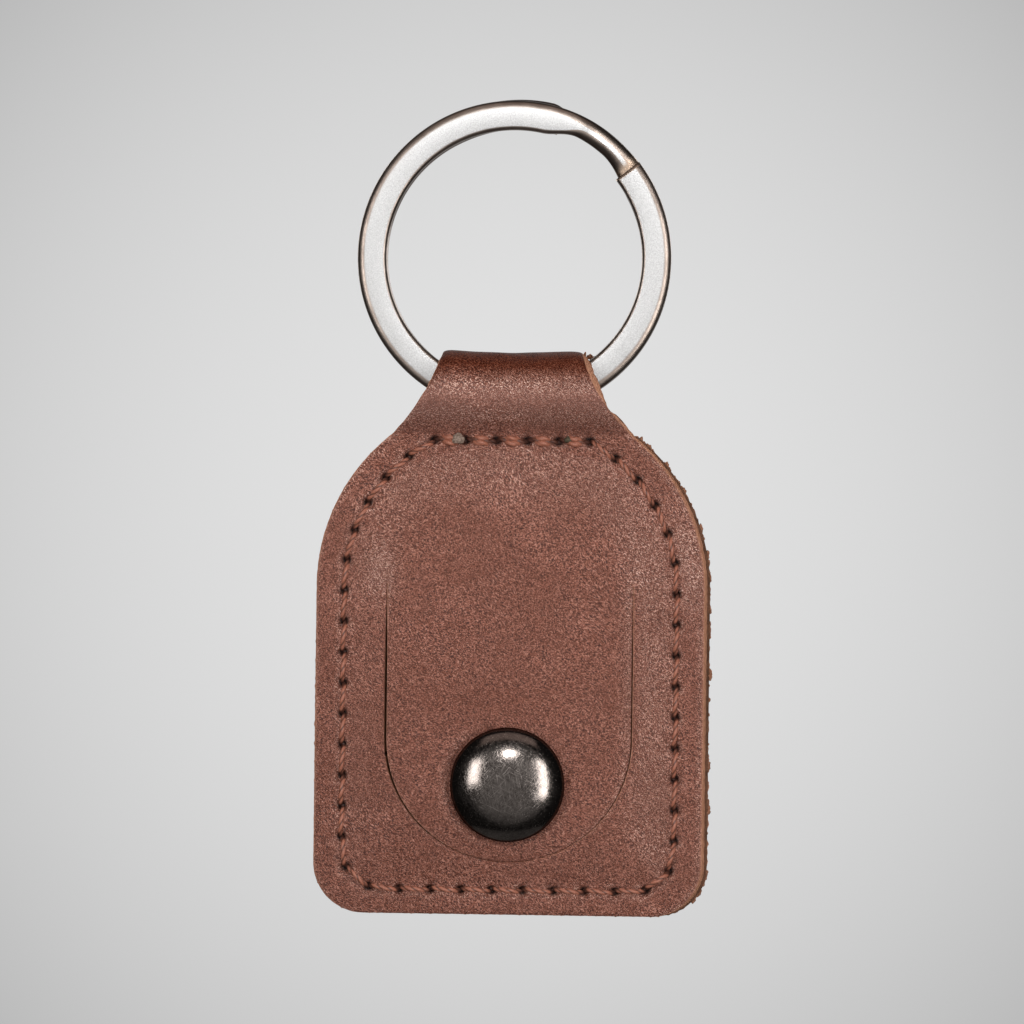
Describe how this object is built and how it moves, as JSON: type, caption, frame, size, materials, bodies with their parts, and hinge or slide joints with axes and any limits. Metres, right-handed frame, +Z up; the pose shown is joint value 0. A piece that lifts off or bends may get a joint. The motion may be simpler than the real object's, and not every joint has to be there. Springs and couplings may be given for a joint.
{
  "type": "coin holder keychain",
  "caption": "Leather key fob that is a flat sewn coin pocket, opened by a tongue-shaped flap with a press stud, hung by its folded loop on a flat split ring",
  "frame": {"origin": "the hang point, which is the inner top of the split ring, where a hook or key holds it", "axes": "+X to the right across the front, +Y from the front to the back, +Z up as the keychain hangs"},
  "size_m": [0.0432, 0.011, 0.0907],
  "materials": {
    "brown_leather": "pebble-grained reddish brown leather with a soft gloss and raw tan edges",
    "satin_nickel": "satin nickel plate on steel",
    "black_nickel": "polished black nickel plate with fine scratches",
    "spring_steel": "plain spring wire",
    "copper_thread": "twisted copper-brown sewing thread"
  },
  "bodies": {
    "ring": {"split_ring": "satin_nickel"},
    "leather": {"leather_body": "brown_leather", "snap_stud": "black_nickel", "stud_eyelet": "black_nickel", "needle_thread": "copper_thread", "bobbin_thread": "copper_thread"},
    "flap": {"coin_flap": "brown_leather", "cap_shell": "black_nickel", "cap_barrel": "black_nickel", "snap_socket": "black_nickel", "socket_spring": "spring_steel"}
  },
  "joints": [
    {"name": "body_swing", "type": "hinge", "parent": "ring", "child": "leather", "pos_m": [0, 0, -0.0284], "axis": [1, 0, 0], "range_deg": [-90, 90]},
    {"name": "flap_hinge", "type": "hinge", "parent": "leather", "child": "flap", "pos_m": [0, -0.0024, -0.0504], "axis": [-1, 0, 0], "range_deg": [0, 120]}
  ]
}
